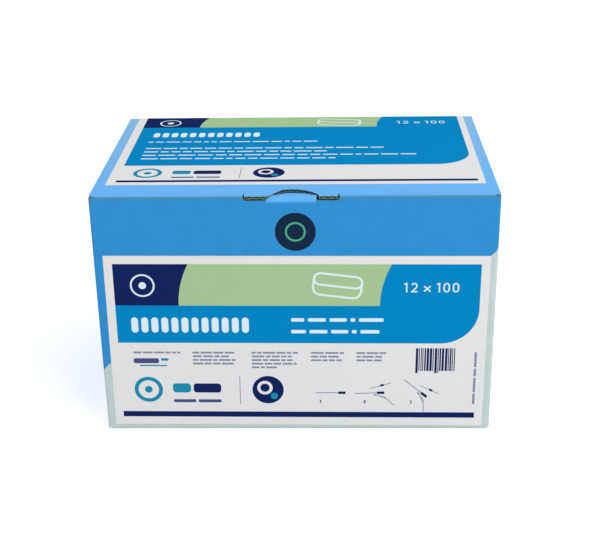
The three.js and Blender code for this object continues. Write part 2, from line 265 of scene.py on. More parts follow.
def fluted_sheet(bm, route, low, high, place, start=None, end=None, breaks=(), levels=()):
    """A sheet of board swept along a route, between two places across the flutes. start and end give where
    the sheet begins and stops along the route at each place across, breaks are the places where those jump
    or curve, and levels the distances along the route at which they do."""
    total = route.lengths[-1]
    start = start or (lambda w: 0.0)
    end = end or (lambda w: total)
    corners = sorted({low, high} | {b for b in breaks if low < b < high})
    inside = [c + shift for c in corners[1:-1] for shift in (-MERGE / 4, MERGE / 4)]
    plain = sorted([low, high] + inside)
    step = FLUTE_PITCH / FLUTE_SAMPLES
    waves = [i * step for i in range(math.ceil(low / step), math.floor(high / step) + 1)]
    wavy = sorted(set(plain + [w for w in waves if all(abs(w - p) > 2 * MERGE for p in plain)]))
    room = BOARD - 2 * LINER - MEDIUM

    def wave(w):
        return LINER + room * (1 - math.cos(2 * math.pi * w / FLUTE_PITCH)) / 2

    ply(bm, route, plain, lambda w: 0.0, LINER, place, start, end, levels, PRINT, TUNNEL)
    ply(bm, route, wavy, wave, MEDIUM, place, lambda w: start(w) + EDGE_INSET, lambda w: end(w) - EDGE_INSET,
        levels, TUNNEL, TUNNEL)
    ply(bm, route, plain, lambda w: BOARD - LINER, LINER, place, start, end, levels, TUNNEL, INSIDE)


# Inks and papers. The blue is flexo print on bleached liner, matt with a faint washboard where the flutes
# show through. Below a wavy line the print is a pale grey-green. Cut edges are grey-green, darkened and
# tinted teal with painted shade, and inked where they were crushed.
BLUE = "#3393d6"
# Painted shade: a greyer, darker blue over the top of the walls, just under the lid's front edge.
EDGE_SHADE_BLUE = "#4090c0"
EDGE_SHADE_DEPTH = 1.8
PALE = "#c6d6d5"
# Painted light: the lid's blue is a lighter tint where light falls on its top from above, and paler to the
# rear with a painted reflection. Down the hinge fold it fades back to the walls' blue.
LID_BLUE_PAINTED_LIGHT = "#66b7fa"
LID_REAR_PAINTED_REFLECTION = "#86bdea"
DISC_NAVY = "#142a44"
DISC_GREEN = "#4fae8c"
WAVE_MIDDLE = 68.7
WAVE_SLOPE = 0.0255
WAVE_CUBE = 3.07e-5
WAVE_BOW = 0.38
DISC_PLACE = (0.5, 111.6)
DISC_RADIUS = 10.0
RING_RADIUS = 4.6
RING_STROKE = 1.0
PRINT_SOFTNESS = 0.1
LINE_SOFTNESS = 0.12
BARE_LINER = "#d9dcd8"
FRONT_FACE = 1.0
FRONT_ZONE = 4.0
SIDE_PRINT = 7.8
FLAP_PRINT = 6.8
PRINT_END = 0.2
# Bands in mm where the lid's painted light fades into the walls' blue: down the hinge fold, and over the
# tongue's bend.
FOLD_LIGHT_FADE = (1.2, 0.1)
TONGUE_LIGHT_FADE = (3.8, 2.0)
SIDE_FACING = 0.7
PULP_SIZE = 6.0
RIDGE_SHADE = 0.011
TOOTH_DEPTH = 0.03


def paper_surface(tree, out, colour, roughness, washboard, fleck=0.035, grain_mm=0.35, sheen=0.04):
    """Finishes a board or paper: colour mottled like pulp, a fine tooth, and the flutes showing through.
    The tooth is drawn a few times coarser than that of real paper, so that it shows."""
    place = add(tree, "TexCoord").outputs["Object"]
    axes = add(tree, "SeparateXYZ", {0: place})
    facing = add(tree, "SeparateXYZ", {0: add(tree, "NewGeometry").outputs["Normal"]})
    sideways = add(tree, "Math", {0: facing.outputs["X"]}, operation="ABSOLUTE")
    over = add(tree, "Math", {0: sideways.outputs[0], 1: SIDE_FACING}, operation="GREATER_THAN")
    across = add(tree, "Mix", {0: over.outputs[0], 2: axes.outputs["X"], 3: axes.outputs["Y"]})
    turns = 2 * math.pi / (FLUTE_PITCH * MM)
    phase = add(tree, "Math", {0: across.outputs[0], 1: turns}, operation="MULTIPLY")
    flutes = add(tree, "Math", {0: phase.outputs[0]}, operation="COSINE")
    pulp = add(tree, "TexNoise", {
        "Vector": place, "Scale": 1 / (PULP_SIZE * MM), "Detail": 5.0, "Roughness": 0.65})
    tooth = add(tree, "TexNoise", {"Vector": place, "Scale": 1 / (grain_mm * MM), "Detail": 2.0})
    cloud = add(tree, "MapRange", {0: pulp.outputs[0], 1: 0.3, 2: 0.7, 3: 1 - fleck, 4: 1 + fleck})
    ridge = add(tree, "Math", {
        0: flutes.outputs[0], 1: RIDGE_SHADE * washboard, 2: cloud.outputs[0]}, operation="MULTIPLY_ADD")
    tint = add(tree, "VectorMath", {0: colour, 3: ridge.outputs[0]}, operation="SCALE")
    height = add(tree, "Math", {
        0: flutes.outputs[0], 1: washboard, 2: tooth.outputs[0]}, operation="MULTIPLY_ADD")
    bump = add(tree, "Bump", {
        "Height": height.outputs[0], "Strength": 0.25, "Distance": TOOTH_DEPTH * MM})
    surface = add(tree, "BsdfPrincipled", {
        "Base Color": tint.outputs[0], "Roughness": roughness, "Specular IOR Level": sheen,
        "Normal": bump.outputs[0],
    })
    tree.links.new(surface.outputs[0], out.inputs["Surface"])


def curve_mask(tree, axes):
    """1 above the print's wavy line, 0 below. The line climbs over the front from low on the left to high on
    the right, and the side walls bow it down on the left and up on the right."""
    x = add(tree, "Math", {0: axes.outputs["X"], 1: 1 / MM}, operation="MULTIPLY").outputs[0]
    y = add(tree, "Math", {0: axes.outputs["Y"], 1: 1 / (MM * BACK)}, operation="MULTIPLY").outputs[0]
    z = add(tree, "Math", {0: axes.outputs["Z"], 1: 1 / MM}, operation="MULTIPLY").outputs[0]
    square = add(tree, "Math", {0: x, 1: x}, operation="MULTIPLY").outputs[0]
    slope = add(tree, "Math", {0: square, 1: WAVE_CUBE, 2: WAVE_SLOPE}, operation="MULTIPLY_ADD").outputs[0]
    line = add(tree, "Math", {0: slope, 1: x, 2: WAVE_MIDDLE}, operation="MULTIPLY_ADD").outputs[0]
    bow = add(tree, "Math", {0: y, 1: y}, operation="MULTIPLY").outputs[0]
    bow = add(tree, "Math", {0: 1.0, 1: bow}, operation="SUBTRACT").outputs[0]
    bow = add(tree, "Math", {0: bow, 1: x}, operation="MULTIPLY").outputs[0]
    line = add(tree, "Math", {0: bow, 1: WAVE_BOW, 2: line}, operation="MULTIPLY_ADD").outputs[0]
    gap = add(tree, "Math", {0: z, 1: line}, operation="SUBTRACT").outputs[0]
    return add(tree, "MapRange", {0: gap, 1: -LINE_SOFTNESS, 2: LINE_SOFTNESS}).outputs[0], x, z


def printed_liner():
    """Carton print: blue above the line, pale below, a navy disc on the front, and bare flaps inside."""
    made, tree, out = new_material("printed_white_liner")
    axes = add(tree, "SeparateXYZ", {0: add(tree, "TexCoord").outputs["Object"]})
    above, x, z = curve_mask(tree, axes)
    colour = add(tree, "Mix", {0: above, 6: ink(PALE), 7: ink(BLUE)}, data_type="RGBA").outputs[2]
    # Painted shade: the blue grows greyer and darker over the walls' top 1.8 mm, under the lid's front edge.
    edge_shade = add(tree, "MapRange", {0: z, 1: FRONT_TOP - EDGE_SHADE_DEPTH, 2: FRONT_TOP}).outputs[0]
    colour = add(tree, "Mix", {0: edge_shade, 6: colour, 7: ink(EDGE_SHADE_BLUE)}, data_type="RGBA").outputs[2]
    dx = add(tree, "Math", {0: x, 1: DISC_PLACE[0]}, operation="SUBTRACT").outputs[0]
    dz = add(tree, "Math", {0: z, 1: DISC_PLACE[1]}, operation="SUBTRACT").outputs[0]
    away = add(tree, "CombineXYZ", {0: dx, 1: dz})
    radius = add(tree, "VectorMath", {0: away.outputs[0]}, operation="LENGTH").outputs["Value"]
    front = add(tree, "Math", {
        0: axes.outputs["Y"], 1: (FRONT + FRONT_FACE) * MM}, operation="LESS_THAN").outputs[0]
    low, high = DISC_RADIUS - PRINT_SOFTNESS, DISC_RADIUS + PRINT_SOFTNESS
    disc = add(tree, "MapRange", {0: radius, 1: low, 2: high, 3: 1.0, 4: 0.0}).outputs[0]
    disc = add(tree, "Math", {0: disc, 1: front}, operation="MULTIPLY").outputs[0]
    colour = add(tree, "Mix", {0: disc, 6: colour, 7: ink(DISC_NAVY)}, data_type="RGBA").outputs[2]
    off = add(tree, "Math", {0: radius, 1: RING_RADIUS}, operation="SUBTRACT").outputs[0]
    off = add(tree, "Math", {0: off}, operation="ABSOLUTE").outputs[0]
    low, high = RING_STROKE / 2 - PRINT_SOFTNESS, RING_STROKE / 2 + PRINT_SOFTNESS
    ring = add(tree, "MapRange", {0: off, 1: low, 2: high, 3: 1.0, 4: 0.0}).outputs[0]
    ring = add(tree, "Math", {0: ring, 1: front}, operation="MULTIPLY").outputs[0]
    colour = add(tree, "Mix", {0: ring, 6: colour, 7: ink(DISC_GREEN)}, data_type="RGBA").outputs[2]
    inward = add(tree, "Math", {0: x}, operation="ABSOLUTE").outputs[0]
    edge = RIGHT - SIDE_PRINT
    flap = add(tree, "MapRange", {0: inward, 1: edge - PRINT_END, 2: edge, 3: 1.0, 4: 0.0}).outputs[0]
    high = add(tree, "Math", {0: z, 1: DUST_TOP - PRINT_SOFTNESS}, operation="GREATER_THAN").outputs[0]
    inside = add(tree, "Math", {
        0: axes.outputs["Y"], 1: (FRONT + FRONT_ZONE) * MM}, operation="GREATER_THAN").outputs[0]
    bare = add(tree, "Math", {0: flap, 1: high}, operation="MULTIPLY").outputs[0]
    bare = add(tree, "Math", {0: bare, 1: inside}, operation="MULTIPLY").outputs[0]
    colour = add(tree, "Mix", {0: bare, 6: colour, 7: ink(BARE_LINER)}, data_type="RGBA").outputs[2]
    paper_surface(tree, out, colour, roughness=0.55, washboard=0.9)
    return made


def keep_place(piece):
    """Stores where each point lies at rest, so that the print stays on the paper when the piece swings."""
    stored = piece.data.attributes.new("rest_place", "FLOAT_VECTOR", "POINT")
    stored.data.foreach_set("vector", [value for vert in piece.data.vertices for value in vert.co])


def lid_liner():
    """Lid print: the carton's blue, lighter on top with painted light from above, paler to the rear with a
    painted reflection, back to the walls' blue down the hinge fold, and bare on the tuck flap.
    """
    made, tree, out = new_material("lid_liner_print_and_painted_light")
    rest = add(tree, "Attribute", attribute_name="rest_place").outputs["Vector"]
    axes = add(tree, "SeparateXYZ", {0: rest})
    rear = add(tree, "MapRange", {0: axes.outputs["Y"], 1: FRONT * MM, 2: BACK * MM}).outputs[0]
    colour = add(tree, "Mix", {
        0: rear, 6: ink(LID_BLUE_PAINTED_LIGHT), 7: ink(LID_REAR_PAINTED_REFLECTION)}, data_type="RGBA").outputs[2]
    front = add(tree, "Math", {0: axes.outputs["Y"], 1: 0.0}, operation="LESS_THAN").outputs[0]
    edge = HEIGHT - FLAP_PRINT
    low = add(tree, "MapRange", {
        0: axes.outputs["Z"], 1: (edge - PRINT_END) * MM, 2: edge * MM, 3: 1.0, 4: 0.0}).outputs[0]
    bare = add(tree, "Math", {0: front, 1: low}, operation="MULTIPLY").outputs[0]
    colour = add(tree, "Mix", {0: bare, 6: colour, 7: ink(BARE_LINER)}, data_type="RGBA").outputs[2]
    behind = add(tree, "MapRange", {
        0: axes.outputs["Y"], 1: (BACK - FOLD_LIGHT_FADE[0]) * MM, 2: (BACK - FOLD_LIGHT_FADE[1]) * MM}).outputs[0]
    colour = add(tree, "Mix", {0: behind, 6: colour, 7: ink(BLUE)}, data_type="RGBA").outputs[2]
    paper_surface(tree, out, colour, roughness=0.5, washboard=0.9)
    return made


def tongue_liner():
    """Tongue print: the front's blue at its foot, passing over the bend to the lid's lighter tint, which is
    painted light from above.
    """
    made, tree, out = new_material("tongue_liner_print_and_painted_light")
    rest = add(tree, "Attribute", attribute_name="rest_place").outputs["Vector"]
    axes = add(tree, "SeparateXYZ", {0: rest})
    low, high = (HEIGHT - below for below in TONGUE_LIGHT_FADE)
    rise = add(tree, "MapRange", {
        0: axes.outputs["Z"], 1: low * MM, 2: high * MM}, interpolation_type="SMOOTHSTEP").outputs[0]
    colour = add(tree, "Mix", {0: rise, 6: ink(BLUE), 7: ink(LID_BLUE_PAINTED_LIGHT)}, data_type="RGBA").outputs[2]
    paper_surface(tree, out, colour, roughness=0.5, washboard=0.9)
    return made


def plain_paper(name, hex_colour, roughness=0.8, washboard=0.0, fleck=0.08):
    """Unprinted paper in one tint, flecked with longer fibres."""
    made, tree, out = new_material(name)
    paper_surface(tree, out, ink(hex_colour)[:3], roughness, washboard, fleck)
    return made


# Painted shade: the cut edge's grey-green is darkened to a grey teal, as in the lock's shaded slot.
SHADED_CUT_PAPER = plain_paper("cut_board_edge_painted_shade", "#86a5a0")
# Painted shade: the flute medium takes the dark teal of the shaded tunnels.
SHADED_FLUTE_MEDIUM = plain_paper("flute_medium_painted_shade", "#1f4a4e")
INNER_LINER = plain_paper("grey_inner_liner", "#b9b8a2", washboard=0.8)
CRUSHED_PAPER = plain_paper("inked_crushed_edge", "#6a9db4")
BOARD_FINISHES = [SHADED_CUT_PAPER, SHADED_FLUTE_MEDIUM, INNER_LINER, CRUSHED_PAPER]

# Lock sizes. The front wall's tongue is bent back into an arch cut in the lid's front fold, and a slit runs
# on to either side of it, where the wall's raw edge is cut lower.
tongue_low, tongue_high = (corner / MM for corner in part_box("lock_tongue"))
LOCK_X = (tongue_low.x + tongue_high.x) / 2
TONGUE_HALF = (tongue_high.x - tongue_low.x) / 2
TONGUE_FOOT = 8.0
RAW_EDGE_DROP = 0.5
FRONT_TOP = HEIGHT - RAW_EDGE_DROP
SLOT_HALF = 23.5
SLOT_DEPTH = 1.7
SLOT_END = 1.6
LOCK_GAP = 1.2
ARCH_HALF = TONGUE_HALF + LOCK_GAP
ARCH_RISE = 8.5
LIP_INSET = 0.5
SHOULDER_SLOPE = 1.34
SHOULDER_FOOT = (-13.9, -69.0)
ARCH_DEPTH = 10.4
ARCH_RADIUS = (ARCH_HALF ** 2 + ARCH_RISE ** 2) / (2 * ARCH_RISE)
ARCH_CENTRE_Y = FRONT + ARCH_DEPTH - ARCH_RADIUS


def arch_edge(x, inset):
    """Where the arch's cut lies, an inset inside it. Its left leg is a straight slant instead of round."""
    round_part = ARCH_CENTRE_Y + math.sqrt(max(0.0, (ARCH_RADIUS - inset) ** 2 - (x - LOCK_X) ** 2))
    slant = SHOULDER_FOOT[1] + SHOULDER_SLOPE * (x - SHOULDER_FOOT[0]) - inset * math.hypot(1, SHOULDER_SLOPE)
    return max(FRONT + LIP_INSET, min(round_part, slant))


def front_edge(x):
    """How far the front wall's top edge lies below its highest, at a place across the wall."""
    away = abs(x - LOCK_X)
    if away < TONGUE_HALF:
        return TONGUE_FOOT
    if away < SLOT_HALF - SLOT_END:
        return SLOT_DEPTH
    if away < SLOT_HALF:
        into = away - (SLOT_HALF - SLOT_END)
        return SLOT_DEPTH - SLOT_END + math.sqrt(SLOT_END ** 2 - into ** 2)
    return 0.0


# Carton. One die-cut sheet, folded square on its scores, with the flutes upright in the walls. The outer base
# flaps meet under the middle, glued over the inner ones, and the dust flaps lie folded in under the lid. The
# front wall's raw top edge was crushed shut by the knife, outside the slot.
BASE_SEAM = 0.8
BASE_FLAP = 48.0
CRUSH_DEPTH = 0.1
CRUSH_HEIGHT = 0.35
SLOT_END_CUTS = (SLOT_END, 0.8, 0.3, 0.0)
bm = bmesh.new()
half = RIGHT - FOLD_RADIUS
slot_breaks = [LOCK_X + side * at for side in (-1, 1)
               for at in (TONGUE_HALF, *(SLOT_HALF - cut for cut in SLOT_END_CUTS))]
front_route = Route(
    [(FRONT, FRONT_TOP)] + arc(FRONT + FOLD_RADIUS, FOLD_RADIUS, FOLD_RADIUS, 180, 270)
    + [(-BASE_SEAM / 2, 0)], 1)
fluted_sheet(bm, front_route, -half, half, as_drawn, start=front_edge, breaks=slot_breaks,
             levels=(SLOT_DEPTH - SLOT_END, SLOT_DEPTH, TONGUE_FOOT))
for low, high in ((-half, LOCK_X - SLOT_HALF), (LOCK_X + SLOT_HALF, half)):
    ply(bm, front_route, [low, high], lambda w: LINER, BOARD - 2 * LINER, as_drawn,
        lambda w: CRUSH_DEPTH, lambda w: CRUSH_HEIGHT, (CRUSH_DEPTH, CRUSH_HEIGHT), CUT_EDGE, CUT_EDGE)
for face in bm.faces:
    middle = face.calc_center_median() / MM
    outside_slot = abs(middle.x - LOCK_X) > SLOT_HALF
    if face.material_index == CUT_EDGE and outside_slot and middle.z > FRONT_TOP - CRUSH_HEIGHT:
        face.material_index = CRUSHED
back_route = Route(
    [(BACK, HEIGHT - JOIN_BELOW_HINGE)] + arc(BACK - FOLD_RADIUS, FOLD_RADIUS, FOLD_RADIUS, 0, -90)
    + [(BASE_SEAM / 2, 0)], -1)
fluted_sheet(bm, back_route, -half, half, as_drawn)

DUST_FLAP = 48.0
DUST_SLANT = 5.0
DUST_FRONT_GAP = 3.2
DUST_REAR_GAP = 1.0
DUST_FOLD_RUN = 1.0
DUST_NOTCH = 0.2
dust_front = FRONT + 2 * BOARD + CLEARANCE + DUST_FRONT_GAP
dust_rear = BACK - BOARD - DUST_REAR_GAP
wall_end = BACK - FOLD_RADIUS
side_route = Route(
    [(RIGHT - BASE_FLAP, BOARD)] + arc(RIGHT - FOLD_RADIUS, BOARD + FOLD_RADIUS, FOLD_RADIUS, -90, 0)
    + [(RIGHT, SIDE_TOP - DUST_FOLD_RUN)]
    + arc(RIGHT - FOLD_RADIUS, DUST_TOP - FOLD_RADIUS, FOLD_RADIUS, 0, 90)
    + [(RIGHT - DUST_FLAP, DUST_TOP)], 1)
side_total = side_route.lengths[-1]
flap_reach = DUST_FLAP - FOLD_RADIUS
side_wall_top = side_total - flap_reach - FOLD_RADIUS * math.pi / 2 - DUST_NOTCH


def side_end(y):
    """Where a side sheet stops: at the wall's top past the dust flap's ends, else at the flap's free edge."""
    if y < dust_front or y > dust_rear:
        return side_wall_top
    short = max(0.0, DUST_SLANT - min(y - dust_front, dust_rear - y))
    return side_total - short * flap_reach / DUST_SLANT


for side in (1, -1):
    fluted_sheet(bm, side_route, -wall_end, wall_end, lambda w, a, b, side=side: (side * a, w, b),
                 end=side_end, levels=(side_wall_top, side_total - DUST_FLAP + FOLD_RADIUS),
                 breaks=(dust_front, dust_front + DUST_SLANT, dust_rear - DUST_SLANT, dust_rear))

CORNER_LIFT = 1.2
CORNER_PAPERS = ((0.0, PRINT, TUNNEL), (BOARD / 2, TUNNEL, TUNNEL), (BOARD - LINER, TUNNEL, INSIDE))
corner_points = arc(RIGHT - FOLD_RADIUS, BACK - FOLD_RADIUS, FOLD_RADIUS, 0, 90)
left_rear_points = arc(RIGHT - FOLD_RADIUS, BACK - BOARD - FOLD_RADIUS, FOLD_RADIUS, 0, 90)
for sign_x, sign_y, points, corner_top in (
        (1, -1, corner_points, FRONT_TOP), (-1, -1, corner_points, FRONT_TOP),
        (1, 1, corner_points, SIDE_TOP), (-1, 1, left_rear_points, SIDE_TOP)):
    corner = Route(points, 1)
    for depth, outward, inward in CORNER_PAPERS:
        ply(bm, corner, [CORNER_LIFT, corner_top], lambda w, d=depth: d, LINER,
            lambda w, a, b, sx=sign_x, sy=sign_y: (sx * a, sy * b, w), lambda w: 0.0,
            lambda w, r=corner: r.lengths[-1], (), outward, inward)

GLUE_FLAP = 26.0
GLUE_INSET = 4.0
GLUE_SLANT = 6.0
glue_y = BACK - BOARD
glue_route = Route([(glue_y, 2 * BOARD + GLUE_INSET), (glue_y, SIDE_TOP - GLUE_INSET)], 1)
glue_left = -RIGHT + BOARD


def glue_slant(x):
    """How far the glue flap's slanted ends have come in at a place across it."""
    return GLUE_SLANT * (x - glue_left) / GLUE_FLAP


fluted_sheet(bm, glue_route, glue_left, glue_left + GLUE_FLAP, as_drawn, start=glue_slant,
             end=lambda w: glue_route.lengths[-1] - glue_slant(w))
carton = finish_mesh(bm, "carton_board", [printed_liner()] + BOARD_FINISHES)
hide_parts("carton")
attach(carton, "carton")

# Lid and tuck flap. The same sheet, folded over from the back wall. In front it folds down into the tuck
# flap, whose two ears go in behind the front wall. The lock's arch and slits are cut along that fold.
TUCK_Y = FRONT + BOARD + CLEARANCE
TUCK_DEPTH = 25.0
TUCK_EXTRA_LEAN = 0.5
EAR_CORNER = 8.0
EAR_SIDE_GAP = 1.0
LID_SIDE_INSET = 0.1
LIP_GAP = 0.7
SLOT_FLAP_DROP = 2.2
STUB_GAP = 0.4
BEND_NEAR = 2.7
BEND_FAR = 3.6
BEND_END = 5.0
LID_HALF = RIGHT - LID_SIDE_INSET
EAR_HALF = RIGHT - BOARD - EAR_SIDE_GAP
LIP_HALF = SLOT_HALF - LIP_GAP
hinge_y = BACK - BOARD / 2
lean = math.degrees(math.atan(TUCK_DEPTH / (2 * (hinge_y - TUCK_Y)))) + TUCK_EXTRA_LEAN
bend_y = TUCK_Y + FOLD_RADIUS
rear_arc = arc(BACK - FOLD_RADIUS, HEIGHT - FOLD_RADIUS, FOLD_RADIUS, 0, 90, 10)
lid_route = Route(
    [(BACK, HEIGHT - JOIN_BELOW_HINGE), (BACK, HEIGHT - BEND_FAR), (BACK, HEIGHT - BEND_NEAR)] + rear_arc
    + [(BACK - BEND_NEAR, HEIGHT), (BACK - BEND_FAR, HEIGHT), (BACK - BEND_END, HEIGHT), (bend_y, HEIGHT),
       (FRONT + LIP_INSET, HEIGHT)], 1)


def along_lid(y):
    """How far along the lid's route its top lies at a place from front to back."""
    return lid_route.lengths[-1] - (y - FRONT - LIP_INSET)


def lid_end(x):
    """Where the lid panel stops: at the tuck flap's fold, or at the raw lip or the arch of the lock."""
    away = abs(x - LOCK_X)
    if away < ARCH_HALF:
        return along_lid(arch_edge(x, 0))
    return along_lid(FRONT + LIP_INSET) if away < LIP_HALF else along_lid(bend_y)


bm = bmesh.new()
arch_breaks = [LOCK_X + ARCH_HALF * math.sin(math.radians(a)) for a in range(-84, 85, 7)]
lid_breaks = arch_breaks + [LOCK_X + side * at for side in (-1, 1) for at in (ARCH_HALF, LIP_HALF)]
fluted_sheet(bm, lid_route, -LID_HALF, LID_HALF, as_drawn, end=lid_end, breaks=lid_breaks,
             levels=(along_lid(bend_y),))

bend = arc(bend_y, HEIGHT - FOLD_RADIUS, FOLD_RADIUS, 90, 180 + lean)
run = TUCK_DEPTH - FOLD_RADIUS
foot = (bend[-1][0] + run * math.sin(math.radians(lean)),
        bend[-1][1] - run * math.cos(math.radians(lean)))
tuck_route = Route(bend + [foot], 1)
tuck_total = tuck_route.lengths[-1]
ear_inner = ARCH_HALF + LOCK_GAP
slot_drop = tuck_total - run + SLOT_FLAP_DROP
short_fold = tuck_total - run - STUB_GAP


def ear_start(x):
    """Where the tuck flap's outer paper begins: at its fold, or lower behind the slot."""
    return slot_drop if abs(x - LOCK_X) < SLOT_HALF else 0.0


def ear_end(x):
    """The free edge of an ear, rounded at both its corners."""
    inner = abs(x - LOCK_X) - ear_inner
    near = min(inner, EAR_HALF - abs(x))
    if near >= EAR_CORNER:
        return tuck_total
    into = EAR_CORNER - max(near, 0.0)
    return tuck_total - EAR_CORNER + math.sqrt(max(0.0, EAR_CORNER ** 2 - into ** 2))


rounding = [EAR_CORNER * (1 - math.cos(math.radians(a))) for a in range(0, 91, 10)]
for side in (-1, 1):
    inner, outer = sorted((LOCK_X + side * ear_inner, side * EAR_HALF))
    breaks = [inner + r for r in rounding] + [outer - r for r in rounding] + [LOCK_X + side * SLOT_HALF]
    fluted_sheet(bm, tuck_route, inner, outer, as_drawn, start=ear_start, end=ear_end,
                 breaks=breaks, levels=(slot_drop,))
    stub_low, stub_high = sorted((side * EAR_HALF, side * LID_HALF))
    fluted_sheet(bm, tuck_route, stub_low, stub_high, as_drawn, end=lambda w: short_fold / 2,
                 levels=(short_fold / 2,))
lid = finish_mesh(bm, "lid_board", [lid_liner()] + BOARD_FINISHES)
keep_place(lid)
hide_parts("lid")
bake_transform(lid)

# Lock tongue. A tab of the front wall, rolled back over its top edge so that its tip meets the arch in the
# lid. It stays part of the wall's paper below its crease, and only hinges there.
TONGUE_DROP = 0.7
TONGUE_BEND = 3.2
TONGUE_SLOPE = 8.0
TONGUE_LEAST = 0.5
CREASE_CUTS = (2.2, 3.2)
top = HEIGHT - TONGUE_DROP
tongue_bend = arc(FRONT + TONGUE_BEND, top - TONGUE_BEND, TONGUE_BEND, 180, 90 - TONGUE_SLOPE, 12)
tip = (tongue_bend[-1][0] + ARCH_DEPTH * math.cos(math.radians(TONGUE_SLOPE)),
       tongue_bend[-1][1] - ARCH_DEPTH * math.sin(math.radians(TONGUE_SLOPE)))
foot_z = FRONT_TOP - TONGUE_FOOT
tongue_foot = [(FRONT, foot_z)] + [(FRONT, foot_z + cut) for cut in CREASE_CUTS]
tongue_route = Route(tongue_foot + tongue_bend + [tip], -1)


def tongue_end(x):
    """The tip's edge, round like the arch and a lock gap inside it."""
    reach = (arch_edge(x, LOCK_GAP) - tongue_bend[-1][0]) / math.cos(math.radians(TONGUE_SLOPE))
    return tongue_route.lengths[-2] + max(TONGUE_LEAST, reach)


bm = bmesh.new()
tip_breaks = [LOCK_X + TONGUE_HALF * math.sin(math.radians(a)) for a in range(-84, 85, 12)]
fluted_sheet(bm, tongue_route, LOCK_X - TONGUE_HALF, LOCK_X + TONGUE_HALF, as_drawn,
             end=tongue_end, breaks=tip_breaks)
tongue = finish_mesh(bm, "tongue_board", [tongue_liner()] + BOARD_FINISHES)
keep_place(tongue)
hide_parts("lock_tongue")
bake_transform(tongue)

# Labels. Self-adhesive coated paper with flat offset inks: a navy and a green block over a blue field with
# one round corner, rows of plain bars and shapes, a bar pattern, and a navy rule at the foot.
# Places on a label are measured right and up from its middle.
PAPER = 0.2
CUT_REACH = 110.0
WHITE, FIELD, NAVY, GREEN, PALE_INK, TEAL, GREY, SOFT_NAVY = range(8)
LABEL_INKS = (("paper", "#e9e9e9"), ("blue", "#0589c8"), ("navy", "#16265f"), ("green", "#a9ca97"),
              ("pale_ink", "#e2f2fa"), ("teal", "#1c8fb4"), ("grey", "#8b8fa8"), ("soft_navy", "#4c5389"))
FIELD_ARC = 49.2
FIELD_CORNER = 19.0
BLOCK_HEIGHT = 22.7
NUMBER_PLACES = (("1", 53.2), ("2", 57.0), ("x", 63.4), ("1", 69.4), ("0", 73.0), ("0", 77.6))
STEPS = (("1", 11.2, 9.4, -28.8, 0), ("2", 34.0, 29.4, -29.2, 2), ("3", 57.8, 55.0, -21.0, -41))
random.seed(12)


def box_shape(u0, v0, u1, v1, radius=0.0):
    """A rectangle, with round corners where a radius is given."""
    if not radius:
        return [(u0, v0), (u1, v0), (u1, v1), (u0, v1)]
    corners = ((u1 - radius, v0 + radius, -90), (u1 - radius, v1 - radius, 0),
               (u0 + radius, v1 - radius, 90), (u0 + radius, v0 + radius, 180))
    return [point for u, v, a in corners for point in arc(u, v, radius, a, a + 90, 4)]


def disc_shape(u, v, radius):
    """A disc of 48 points."""
    return arc(u, v, radius, 0, 352.5, 47)


def stroke_shape(u0, v0, u1, v1, width):
    """A straight stroke with square ends."""
    along = Vector((u1 - u0, v1 - v0)).normalized() * width / 2
    across = Vector((-along.y, along.x))
    return [(u0 + across.x, v0 + across.y), (u0 - across.x, v0 - across.y),
            (u1 - across.x, v1 - across.y), (u1 + across.x, v1 + across.y)]


def hook_shape(u, v, radius, width, start, end):
    """A curved stroke about a centre, between two angles."""
    return arc(u, v, radius, start, end) + arc(u, v, radius - width, end, start)


def numeral(sign, u, v, height, width, under):
    """A plain number or a times sign in strokes of one width, standing at (u, v), on the ink named under."""
    w, r = height * 0.62, height * 0.31
    if sign == "0":
        return [(box_shape(u, v, u + w, v + height, r * 0.98), PALE_INK),
                (box_shape(u + width, v + width, u + w - width, v + height - width, r - width), under)]
    strokes = {
        "1": [stroke_shape(u + r, v, u + r, v + height, width),
              stroke_shape(u + 0.1 * w, v + height * 0.84, u + r, v + height - width / 2, width)],
        "2": [hook_shape(u + r, v + height - r, r, width, 165, -38),
              stroke_shape(u + 0.86 * w, v + height * 0.54, u + 0.14 * w, v + width / 2, width),
              box_shape(u, v, u + w, v + width)],
        "3": [hook_shape(u + r, v + height - r * 0.85, r * 0.85, width, 140, -90),
              hook_shape(u + r, v + r, r, width, 90, -140)],
        "x": [stroke_shape(u, v + 0.1 * height, u + w, v + 0.66 * height, width),
              stroke_shape(u, v + 0.66 * height, u + w, v + 0.1 * height, width)],
    }
    return [(shape, PALE_INK) for shape in strokes[sign]]


def bar_row(u, v, height, lengths, gap):
    """A row of plain bars of the given lengths, from its left end."""
    shapes = []
    for length in lengths:
        shapes.append(box_shape(u, v, u + length, v + height, height * 0.3))
        u += length + gap
    return shapes


def random_bar_row(u, v, height, width, gap):
    """Bars of chance lengths that fill a line of the given width."""
    lengths = []
    left = width
    while left > 1.5 * height:
        lengths.append(min(left, random.uniform(2.0, 6.5) * height))
        left -= lengths[-1] + gap
    return bar_row(u, v, height, lengths, gap)


def inked(shapes, colour):
    """Gives every shape the same ink."""
    return [(shape, colour) for shape in shapes]


def turned(shape, u, v, degrees):
    """A shape turned about the origin and then moved to (u, v)."""
    turn = Matrix.Rotation(math.radians(degrees), 2)
    return [tuple(turn @ Vector(point) + Vector((u, v))) for point in shape]


